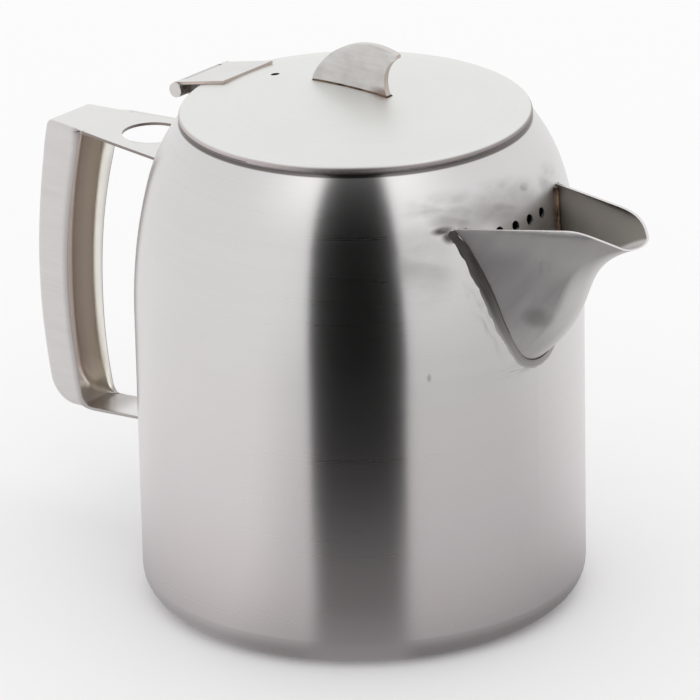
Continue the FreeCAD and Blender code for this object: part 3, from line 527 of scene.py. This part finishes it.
# Handle: one pressing of sheet, a channel grip open to the pot between a flat strap with a round
# heat hole on top and a plain strap at the foot, both welded on. The channel has a round bottom,
# narrows downwards and folds sharply into the top strap.
HANDLE_SHEET = 0.0009
ROOT_SINK = 0.0003
FOLD_LENGTH = 0.002
LEAST_ROUND = 0.0001
EDGE_WEAR = 0.00012
STRAP_TOP = 0.1264
FOOT_HEIGHT = 0.031
FOOT_SLOPE = math.radians(5)
GRIP_TOP = -0.1144
GRIP_FOOT = -0.1184
GRIP_BOW = 0.1822
GRIP_DEPTH = 0.0130
TOP_BENDS = (0.0030, 0.0034)
FOOT_BENDS = (0.0100, 0.0045)
FOOT_SEARCH = (-0.01, 0.06)
HEAT_HOLE_PLACE = -0.0797
HEAT_HOLE_RADIUS = 0.0093
DRILL_LENGTH = 0.01
SHARP_CORNER = math.radians(32)
WORN_CORNER = math.radians(50)
FOOT_HALF_WIDTH = 0.0071
STRAP_HALF_WIDTHS = (
    (-0.1140, 0.0094), (-0.1090, 0.0099), (-0.1040, 0.0106), (-0.0985, 0.0115), (-0.0920, 0.0126),
    (-0.0850, 0.0138), (-0.0750, 0.0154), (-0.0600, 0.0178),
)
GRIP_SECTIONS = (
    # height, half width, rounding between back and flank, curl and flare of the two free edges
    (0.0250, 0.0073, 0.0026, 0.0, 0.0003),
    (0.0400, 0.0072, 0.0030, 0.0, 0.0006),
    (0.0600, 0.0076, 0.0032, 0.0, 0.0008),
    (0.0780, 0.0080, 0.0033, 0.0002, 0.0009),
    (0.0950, 0.0084, 0.0033, 0.0006, 0.0010),
    (0.1120, 0.0089, 0.0026, 0.0012, 0.0012),
    (0.1190, 0.0092, 0.0018, 0.0014, 0.0012),
    (0.1264, 0.0094, 0.0012, 0.0010, 0.0010),
)
chord = Vector((GRIP_FOOT - GRIP_TOP, FOOT_HEIGHT - STRAP_TOP))
to_bow = Vector((-chord.y, chord.x)).normalized() * math.sqrt(GRIP_BOW ** 2 - chord.length ** 2 / 4)
bow_centre = Vector((GRIP_TOP, STRAP_TOP)) + chord / 2 + to_bow
foot_run = Vector((math.cos(FOOT_SLOPE), math.sin(FOOT_SLOPE)))
foot_down = Vector((foot_run.y, -foot_run.x))


def arc_points(centre, radius, first, last, steps):
    turns = [first + (last - first) * k / steps for k in range(steps + 1)]
    ways = [Vector((math.cos(turn), math.sin(turn))) for turn in turns]
    return [(centre + way * radius, way) for way in ways]


def bent_line(bow, top_bend, foot_bend):
    drop = STRAP_TOP - top_bend - bow_centre.y
    top = Vector((bow_centre.x - math.sqrt((bow - top_bend) ** 2 - drop ** 2), STRAP_TOP - top_bend))
    near, far = FOOT_SEARCH
    for _ in range(40):
        middle = (near + far) / 2
        foot = Vector((GRIP_FOOT, FOOT_HEIGHT)) + foot_run * middle - foot_down * foot_bend
        if (foot - bow_centre).length > bow - foot_bend:
            near = middle
        else:
            far = middle
    turns = [math.atan2(spot.y - bow_centre.y, spot.x - bow_centre.x) % (2 * math.pi)
             for spot in (top, foot)]
    return (arc_points(top, top_bend, math.pi / 2, turns[0], 10)
            + arc_points(bow_centre, bow, *turns, 70)[1:-1]
            + arc_points(foot, foot_bend, turns[1], 1.5 * math.pi + FOOT_SLOPE, 14))


def lengths(points):
    run = [0.0]
    for (first, _), (second, _) in zip(points, points[1:]):
        run.append(run[-1] + (second - first).length)
    return run


# The outer line runs from the top strap's root round the grip to the foot strap's root
open_line = bent_line(GRIP_BOW - GRIP_DEPTH, TOP_BENDS[1], FOOT_BENDS[1])
open_run = lengths(open_line)
outer_line = bent_line(GRIP_BOW, TOP_BENDS[0], FOOT_BENDS[0])
strap_end, foot_start = outer_line[0][0], outer_line[-1][0]
strap_root = Vector((-pot_skin(STRAP_TOP), STRAP_TOP))
foot_root = foot_start + foot_run * (-POT_RADIUS - foot_start.x) / foot_run.x
strap_steps, foot_steps = 48, 22
outer_line = ([(strap_root.lerp(strap_end, k / strap_steps), Vector((0, 1))) for k in range(strap_steps)]
              + outer_line
              + [(foot_start.lerp(foot_root, k / foot_steps), foot_down) for k in range(1, foot_steps + 1)])
outer_run = lengths(outer_line)
flank_start = strap_root.x - open_line[0][0].x
flank_end = outer_run[-1] - (foot_root - open_line[-1][0]).length


def free_edge(run):
    share = min(max((run - flank_start) / (flank_end - flank_start), 0), 1)
    at = share * open_run[-1]
    k = min(next((i for i, v in enumerate(open_run) if v >= at), len(open_run) - 1), len(open_run) - 1)
    if k == 0:
        return open_line[0][0]
    return open_line[k - 1][0].lerp(open_line[k][0], (at - open_run[k - 1]) / (open_run[k] - open_run[k - 1]))


FLANK_STEPS, ROUND_STEPS, BACK_STEPS = 12, 8, 10
FLARE_START = 0.6
EDGE_START, EDGE_LOSS = 0.75, 0.65


def handle_section(station, inner):
    spot, out = outer_line[station]
    run = outer_run[station]
    on_strap = station < strap_steps
    on_foot = station > len(outer_line) - 1 - foot_steps
    half_width, rounding, curl, flare = through(GRIP_SECTIONS, spot.y)
    if on_strap:
        half_width = through(STRAP_HALF_WIDTHS, spot.x)[0]
    if on_foot:
        half_width = FOOT_HALF_WIDTH
    edge = free_edge(run) if flank_start < run < flank_end else spot
    flank = (edge - spot).length
    folded = min(max(flank / FOLD_LENGTH, 0), 1)
    rounding = min(rounding, flank * 0.8)
    if inner:
        spot = spot - out * HANDLE_SHEET
        edge = edge - out * HANDLE_SHEET * (1 - folded)
        half_width -= HANDLE_SHEET * folded
        rounding = max(rounding - HANDLE_SHEET, min(rounding, LEAST_ROUND))
    flank_top = spot - out * rounding
    sides = []
    for near in (True, False):
        half = [(spot, (half_width - rounding) * 2 * k / BACK_STEPS) for k in range(1, BACK_STEPS // 2 + 1)]
        for k in range(1, ROUND_STEPS + 1):
            turn = math.pi / 2 * k / ROUND_STEPS
            half.append((spot - out * rounding * (1 - math.cos(turn)),
                         half_width - rounding * (1 - math.sin(turn))))
        for k in range(1, FLANK_STEPS + 1):
            share = k / FLANK_STEPS
            late = max((share - FLARE_START) / (1 - FLARE_START), 0)
            bend = -curl * share ** 2 if near else flare * late ** 2
            worn_off = max(share - EDGE_START, 0) / (1 - EDGE_START) * EDGE_LOSS
            thinned = HANDLE_SHEET * worn_off if inner else 0
            half.append((flank_top.lerp(edge, share), half_width + (bend + thinned) * folded))
        sides.append(half)
    points = [(p, -y) for p, y in reversed(sides[0])] + [(spot, 0.0)] + sides[1]
    laid = []
    for p, y in points:
        x = p.x
        if on_strap:
            to_skin = -math.sqrt((pot_skin(STRAP_TOP) - ROOT_SINK) ** 2 - y * y)
            x = p.x + (to_skin - strap_root.x) * (1 - station / strap_steps) ** 2
        if on_foot:
            left = (len(outer_line) - 1 - station) / foot_steps
            to_skin = -math.sqrt((POT_RADIUS - ROOT_SINK) ** 2 - y * y)
            x = p.x + (to_skin + POT_RADIUS) * (1 - left)
        laid.append((x, y, p.y))
    return laid


def closed_sheet(name, section_of, count):
    outside = [section_of(k, False) for k in range(count)]
    inside = [section_of(k, True) for k in range(count)]
    wide = len(outside[0])
    points = [point for row in outside + inside for point in row]
    below = count * wide
    faces = []
    for i in range(count - 1):
        for j in range(wide - 1):
            a, b = i * wide + j, (i + 1) * wide + j
            faces.append((a, a + 1, b + 1, b))
            faces.append((below + a, below + b, below + b + 1, below + a + 1))
        a, b, last = i * wide, (i + 1) * wide, wide - 1
        faces.append((a, b, below + b, below + a))
        faces.append((a + last, below + a + last, below + b + last, b + last))
    for j in range(wide - 1):
        faces.append((j, below + j, below + j + 1, j + 1))
        a = (count - 1) * wide + j
        faces.append((a, a + 1, below + a + 1, below + a))
    mesh = bpy.data.meshes.new(name)
    mesh.from_pydata(points, [], faces)
    build = bmesh.new()
    build.from_mesh(mesh)
    bmesh.ops.remove_doubles(build, verts=build.verts, dist=1e-6)
    bmesh.ops.dissolve_degenerate(build, edges=build.edges, dist=1e-7)
    bmesh.ops.recalc_face_normals(build, faces=build.faces)
    build.to_mesh(mesh)
    build.free()
    piece = bpy.data.objects.new(name, mesh)
    bpy.context.scene.collection.objects.link(piece)
    return piece


def settled(piece):
    mesh = made_solid(piece)
    mesh.shade_smooth()
    mesh.set_sharp_from_angle(angle=SHARP_CORNER)


handle = closed_sheet("handle_pressing", handle_section, len(outer_line))
drill_mesh = bpy.data.meshes.new("heat_hole_drill")
build = bmesh.new()
bmesh.ops.create_cone(build, cap_ends=True, segments=96, radius1=HEAT_HOLE_RADIUS,
                      radius2=HEAT_HOLE_RADIUS, depth=DRILL_LENGTH,
                      matrix=Matrix.Translation((HEAT_HOLE_PLACE, 0, STRAP_TOP)))
build.to_mesh(drill_mesh)
build.free()
drill = bpy.data.objects.new("heat_hole_drill", drill_mesh)
bpy.context.scene.collection.objects.link(drill)
hole = handle.modifiers.new("heat_hole", "BOOLEAN")
hole.object = drill
hole.operation = "DIFFERENCE"
settled(handle)
bpy.data.objects.remove(drill)
worn_edges = handle.modifiers.new("edges", "BEVEL")
worn_edges.width = EDGE_WEAR
worn_edges.segments = 2
worn_edges.limit_method = "ANGLE"
worn_edges.angle_limit = WORN_CORNER
settled(handle)

STRAP_UNDERSIDE = STRAP_TOP - 0.0011
FOOT_STRAP_FADE = (-0.099, -0.088)
handle_steel, tree, shader, place = steel("handle_steel", 0.33)
line, cloud = lined(tree, place, 1200.0, 60.0)
bright = brushed(tree, line, (0.585, 0.565, 0.56, 1), (0.645, 0.63, 0.625, 1))
clouded = blended(tree, spread(tree, cloud, 0.35, 0.7, 0, 0.3), bright, (0.56, 0.525, 0.505, 1))
spot, tilt = parted(tree, place), facing(tree)
# Painted light: faces that look upwards are coloured lighter.
upward = spread(tree, tilt["Z"], 0.7, 0.95, 0, 1)
topped = blended(tree, upward, clouded, (0.755, 0.75, 0.74, 1))
from_bow = vector_calc(tree, "SUBTRACT", place, (bow_centre.x, 0, bow_centre.y))
reach = length_of(tree, vector_calc(tree, "MULTIPLY", from_bow, (1, 0, 1)))
depth = spread(tree, reach, GRIP_BOW - GRIP_DEPTH, GRIP_BOW, 0, 1)
# Painted shade: inside the channel the colour turns darker and browner from the free edges towards its
# bottom.
shallow = blended(tree, spread(tree, depth, 0.05, 0.35, 0, 1, "SMOOTHSTEP"),
                  (0.92, 0.90, 0.85, 1), (0.86, 0.80, 0.70, 1))
hollow = blended(tree, spread(tree, depth, 0.4, 0.85, 0, 1, "SMOOTHSTEP"), shallow, (0.68, 0.60, 0.56, 1))
# Painted shade: the outer faces of the flanks darken towards their free edges.
painted_edge_shade = blended(tree, spread(tree, depth, 0.0, 0.2, 0.7, 0, "SMOOTHSTEP"), topped, (0.33, 0.295, 0.285, 1))
# The strap's side and hole edges are painted dark: partly their own cut-edge tone, partly painted shade along
# the strap's edge.
in_strap = calc(tree, "GREATER_THAN", spot["Z"], STRAP_UNDERSIDE)
beside_grip = calc(tree, "GREATER_THAN", spot["X"], open_line[0][0].x)
upright = spread(tree, calc(tree, "ABSOLUTE", tilt["Z"]), 0.4, 0.7, 1, 0)
cut = calc(tree, "MULTIPLY", upright, calc(tree, "MULTIPLY", in_strap, beside_grip))
in_foot = spread(tree, spot["X"], *FOOT_STRAP_FADE, 0, 1, "SMOOTHSTEP")
on_strap = calc(tree, "MULTIPLY", upward, calc(tree, "MAXIMUM", in_strap, in_foot))
flanked = blended(tree, hollow_side(tree, place), blended(tree, on_strap, painted_edge_shade, topped), hollow)
coloured(tree, shader, blended(tree, cut, flanked, (0.26, 0.225, 0.21, 1)))
roughened(tree, shader, line, 0.29, 0.38)
scratched(tree, shader, line, 0.05, 0.00005)
handle.data.materials.clear()
handle.data.materials.append(handle_steel)
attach(handle, "pot")
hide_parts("handle")


# Hinge: a strip welded on the shoulder is rolled round the pin, whose ends are headed over. They are
# plain sheet and wire, a little duller than the pot.
hinge_steel, tree, shader, place = steel("hinge_steel", 0.38)
line, cloud = lined(tree, place, 900.0, 90.0)
bright = brushed(tree, line, (0.55, 0.53, 0.52, 1), (0.64, 0.62, 0.61, 1))
clouded = blended(tree, spread(tree, cloud, 0.4, 0.7, 0, 0.4), bright, (0.45, 0.42, 0.41, 1))
coloured(tree, shader, clouded)
roughened(tree, shader, line, 0.32, 0.44)
scratched(tree, shader, line, 0.12, 0.00006)
finish_with("hinge_bracket", hinge_steel)

pin_steel, tree, shader, place = steel("pin_steel", 0.4)
hammered = mottled(tree, place, 700.0, 2.0)
coloured(tree, shader, blended(tree, hammered, (0.56, 0.53, 0.51, 1), (0.70, 0.68, 0.66, 1)))
roughened(tree, shader, hammered, 0.34, 0.48)
scratched(tree, shader, hammered, 0.2, 0.0001)
finish_with("hinge_pin", pin_steel)


# Lid: a shallow dome pressed from sheet, with its edge turned down over the mouth and a small vent
# drilled near the hinge. It is polished as it spins, so its hair lines are rings.
lid_steel, tree, shader, place = steel("lid_steel", 0.3)
spot, tilt = parted(tree, place), facing(tree)
flat = add(tree, "ShaderNodeCombineXYZ", {"X": spot["X"], "Y": spot["Y"]})
from_axis = length_of(tree, flat.outputs[0])
rings = add(tree, "ShaderNodeCombineXYZ", {"X": spot["X"], "Y": spot["Y"], "Z": from_axis})
line, cloud = lined(tree, rings.outputs[0], 2200.0, 10.0)
# Painted light and shade on the turned-down edge: its upper part is coloured light pink, darker towards the
# right, and its lower part near black, as a painted highlight and a painted shadow over the gap.
rim = calc(tree, "MULTIPLY", spread(tree, tilt["Z"], 0.45, 0.8, 1, 0, "SMOOTHSTEP"),
           spread(tree, tilt["Z"], -0.9, -0.6, 0, 1, "SMOOTHSTEP"))
bright = brushed(tree, line, (0.78, 0.785, 0.765, 1), (0.805, 0.81, 0.79, 1))
clouded = blended(tree, spread(tree, cloud, 0.35, 0.7, 0, 0.15), bright, (0.72, 0.71, 0.69, 1))
rim_light_and_shade = blended(tree, spread(tree, spot["X"], -0.01, 0.03, 0, 1),
                    (0.55, 0.50, 0.49, 1), (0.31, 0.28, 0.27, 1))
rim_with_shade_below = blended(tree, spread(tree, tilt["Z"], 0.02, 0.3, 1, 0, "SMOOTHSTEP"),
                rim_light_and_shade, (0.10, 0.09, 0.086, 1))
coloured(tree, shader, blended(tree, rim, clouded, rim_with_shade_below))
roughened(tree, shader, line, 0.44, 0.5)
scratched(tree, shader, line, 0.015, 0.00004)
finish_with("lid", lid_steel)


# Knob: a fin cut from sheet, brushed along its sides and left brown on its cut edges. It stands on
# the lid in a thin dark weld.
knob_steel, tree, shader, place = steel("knob_steel", 0.36)
line, _ = lined(tree, place, 1100.0, 60.0)
tilt = facing(tree)
cut = spread(tree, calc(tree, "ABSOLUTE", tilt["Y"]), 0.45, 0.75, 1, 0)
bright = brushed(tree, line, (0.60, 0.58, 0.57, 1), (0.74, 0.725, 0.71, 1))
blotch = spread(tree, mottled(tree, place, 240.0, 4.0), 0.42, 0.75, 0, 0.4)
clouded = blended(tree, blotch, bright, (0.46, 0.42, 0.41, 1))
heated = scuffed(tree, place, (0.0118, -0.001, 0.1574), (0.0075, 0.004, 0.0028), (60, 60, 200), 0.05)
tinted = blended(tree, heated, clouded, (0.30, 0.225, 0.20, 1))
edge = blended(tree, spread(tree, tilt["Z"], 0.2, 0.8, 0, 1), (0.50, 0.43, 0.38, 1), (0.66, 0.63, 0.61, 1))
coloured(tree, shader, blended(tree, calc(tree, "MULTIPLY", cut, 0.85), tinted, edge))
roughened(tree, shader, line, 0.31, 0.43)
scratched(tree, shader, line, 0.15, 0.00006)
finish_with("lid_knob", knob_steel)

DOME_TOP = 0.15723
DOME_RADIUS = 0.2158
FOOT_HEEL = -0.0150
FOOT_TOE = 0.0129
FOOT_SIDE = 0.001
BEAD_WIDTH = 0.0004
BEAD_END = 0.00035
BEAD_LEAN = 0.00003
BEAD_HEIGHT = 0.00045
BEAD_BURY = 0.0003


def on_dome(x, y):
    return Vector((x, y, DOME_TOP - DOME_RADIUS + math.sqrt(DOME_RADIUS ** 2 - x * x - y * y)))


foot_rows = []
BEAD_STEPS = 40
for side in (-1, 1):
    for k in range(BEAD_STEPS + 1):
        share = k / BEAD_STEPS if side < 0 else 1 - k / BEAD_STEPS
        seat = on_dome(FOOT_HEEL + (FOOT_TOE - FOOT_HEEL) * share, side * FOOT_SIDE)
        ending = -1 if share == 0 else 1 if share == 1 else 0
        spread_out = Vector((ending * BEAD_END, side * BEAD_WIDTH, 0))
        climb = Vector((ending * BEAD_LEAN, side * BEAD_LEAN, BEAD_HEIGHT))
        bury = Vector((-ending * BEAD_BURY, -side * BEAD_BURY, -BEAD_BURY))
        foot_rows.append((seat, spread_out, climb, bury))
knob_weld = laid_weld("knob_weld", foot_rows, burnt_steel,
                      hollow=0.2, ripple=0.0003, ripple_length=0.0012, closed=True, steps=24)
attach(knob_weld, "lid")


# Hinge leaf: a flat plate welded on the lid, with its outer corners rolled round the pin. Its faces
# are polished with the lid and its cut edges stay brown.
leaf_steel, tree, shader, place = steel("leaf_steel", 0.33)
turned = add(tree, "ShaderNodeVectorRotate", {
    "Vector": place, "Rotation": (math.pi / 2, 0, 0),
}, rotation_type="EULER_XYZ")
line, _ = lined(tree, turned.outputs[0], 1000.0, 50.0)
cut = spread(tree, calc(tree, "ABSOLUTE", facing(tree)["Z"]), 0.35, 0.7, 1, 0)
bright = brushed(tree, line, (0.68, 0.675, 0.66, 1), (0.75, 0.745, 0.73, 1))
coloured(tree, shader, blended(tree, calc(tree, "MULTIPLY", cut, 0.8), bright, (0.47, 0.38, 0.33, 1)))
roughened(tree, shader, line, 0.29, 0.39)
scratched(tree, shader, line, 0.1, 0.00005)
finish_with("hinge_leaf", leaf_steel)


# Studio: a white floor under a white sky, seen through a long lens at the photograph's angle. Only
# the steel mirrors the other three: a floor with painted shades, a dark card and a lamp cloth.
scene = bpy.context.scene
scene.view_settings.view_transform = "Standard"
world = bpy.data.worlds.new("white_tent")
scene.world = world
world.use_nodes = True
sky = world.node_tree.nodes["Background"]
sky.inputs["Color"].default_value = (1, 1, 1, 1)
sky.inputs["Strength"].default_value = 1.0


def matt(name, shade):
    material = bpy.data.materials.new(name)
    material.use_nodes = True
    shader = material.node_tree.nodes["Principled BSDF"]
    shader.inputs["Base Color"].default_value = (shade, shade, shade, 1)
    shader.inputs["Roughness"].default_value = 1.0
    shader.inputs["Specular IOR Level"].default_value = 0.0
    return material


def staged(name, points, faces, material):
    mesh = bpy.data.meshes.new(name)
    mesh.from_pydata(points, [], faces)
    mesh.materials.append(material)
    piece = bpy.data.objects.new(name, mesh)
    scene.collection.objects.link(piece)
    return piece


FLOOR_HALF = 4.0
FLOOR_DROP = -0.0002
corners = ((-1, -1), (1, -1), (1, 1), (-1, 1))
staged("floor", [(x * FLOOR_HALF, y * FLOOR_HALF, FLOOR_DROP) for x, y in corners],
       [(0, 1, 2, 3)], matt("floor_paper", 0.97))

DARK_SPAN = (-70.2, -34.0)
MAT_RINGS = (0.0, 0.067, 0.074, 0.082, 0.092, 0.105, 0.12, 0.14, 0.17, 0.21, 0.27, 0.36, 0.5, 0.8)
MAT_TURNS = range(-180, 180, 3)
CONTACT_FADE = 0.05


def eased(value, low, high):
    share = min(max((value - low) / (high - low), 0), 1)
    return share * share * (3 - 2 * share)


# Bearings are in degrees from the spout's side, and close is 1 at the pot's foot
def mat_shade(radius, bearing):
    close = math.exp(-max(radius - POT_RADIUS, 0) / CONTACT_FADE)
    dip = 0.28 * (1 - 0.65 * eased(radius, 0.27, 0.38)) * eased(bearing, -102, -74)
    left = 1.02 * (1 - dip) * (1 - 0.58 * close)
    side = eased(bearing, 12, 72)
    right = (0.72 + 0.25 * side) * (1 - (0.66 - 0.2 * side) * close)
    level = left + (right - left) * eased(bearing, -55, -45)
    start, end = DARK_SPAN[0] + 4 * close, DARK_SPAN[1] - 5 * close
    dark = eased(bearing, start - 2.5, start + 2.5) * eased(-bearing, -end - 4, -end + 4)
    return level + (0.15 + 0.2 * close - level) * dark


def lamp_shade(tilt, bearing):
    return 1 + 0.6 * eased(tilt, 26, 58) * eased(tilt, 82, 66) * eased(abs(bearing + 50), 80, 35)


def round_axis(radius, bearing, height):
    turn = math.radians(bearing)
    return radius * math.cos(turn), radius * math.sin(turn), height


def sheet_faces(rows, wide):
    return [(a, a + 1, a + wide + 1, a + wide)
            for row in range(rows - 1) for a in range(row * wide, row * wide + wide - 1)]


def paint_shades(piece, values):
    shades = piece.data.attributes.new("shade", "FLOAT", "POINT").data
    for shade, value in zip(shades, values):
        shade.value = value


glow = bpy.data.materials.new("mat_glow")
glow.use_nodes = True
glow.node_tree.nodes.clear()
glow.cycles.emission_sampling = "NONE"
light = add(glow.node_tree, "ShaderNodeEmission", {"Color": own_values(glow.node_tree, "shade")})
add(glow.node_tree, "ShaderNodeOutputMaterial", {"Surface": light.outputs["Emission"]})

mat_spots = [(radius, turn) for radius in MAT_RINGS for turn in MAT_TURNS]
mat_wide = len(MAT_TURNS)
mat_faces = []
for ring in range(len(MAT_RINGS) - 1):
    for k in range(mat_wide):
        this, then = ring * mat_wide + k, ring * mat_wide + (k + 1) % mat_wide
        mat_faces.append((this, this + mat_wide, then + mat_wide, then))
mat = staged("mirrored_floor", [round_axis(radius, turn, 0) for radius, turn in mat_spots], mat_faces, glow)
paint_shades(mat, [mat_shade(radius, turn) for radius, turn in mat_spots])

CARD_RADIUS = 0.135
CARD_STEPS = 24
CARD_ROWS = (
    # height, bearing where the row ends
    (0.018, DARK_SPAN[1]), (0.045, DARK_SPAN[1]), (0.07, -32.7), (0.1, -33.4), (0.16, -34.6), (0.5, -32),
)
card_points = [
    round_axis(CARD_RADIUS, DARK_SPAN[0] + (end - DARK_SPAN[0]) * k / CARD_STEPS, height)
    for height, end in CARD_ROWS for k in range(CARD_STEPS + 1)
]
card = staged("dark_card", card_points, sheet_faces(len(CARD_ROWS), CARD_STEPS + 1), matt("dark_felt", 0.004))

LAMP_TILTS = range(26, 83, 8)
LAMP_TURNS = range(-130, 31, 10)
lamp_spots = [(tilt, turn) for tilt in LAMP_TILTS for turn in LAMP_TURNS]
lamp = staged("lamp_cloth", [
    round_axis(math.cos(math.radians(tilt)), turn, math.sin(math.radians(tilt))) for tilt, turn in lamp_spots
], sheet_faces(len(LAMP_TILTS), len(LAMP_TURNS)), glow)
paint_shades(lamp, [lamp_shade(tilt, turn) for tilt, turn in lamp_spots])

for mirrored in (mat, card, lamp):
    mirrored.visible_camera = False
    mirrored.visible_diffuse = False
    mirrored.visible_shadow = False
    mirrored.visible_transmission = False

camera_data = bpy.data.cameras.new("camera")
camera = bpy.data.objects.new("camera", camera_data)
scene.collection.objects.link(camera)
camera_data.lens = 318.474
camera_data.sensor_width = 36
camera_data.clip_end = 20
camera.matrix_world = Matrix((
    (0.77638, -0.21781, 0.59143, 1.09101),
    (0.62996, 0.29731, -0.71746, -1.32830),
    (-0.01957, 0.92961, 0.36804, 0.75462),
    (0, 0, 0, 1),
))
scene.camera = camera
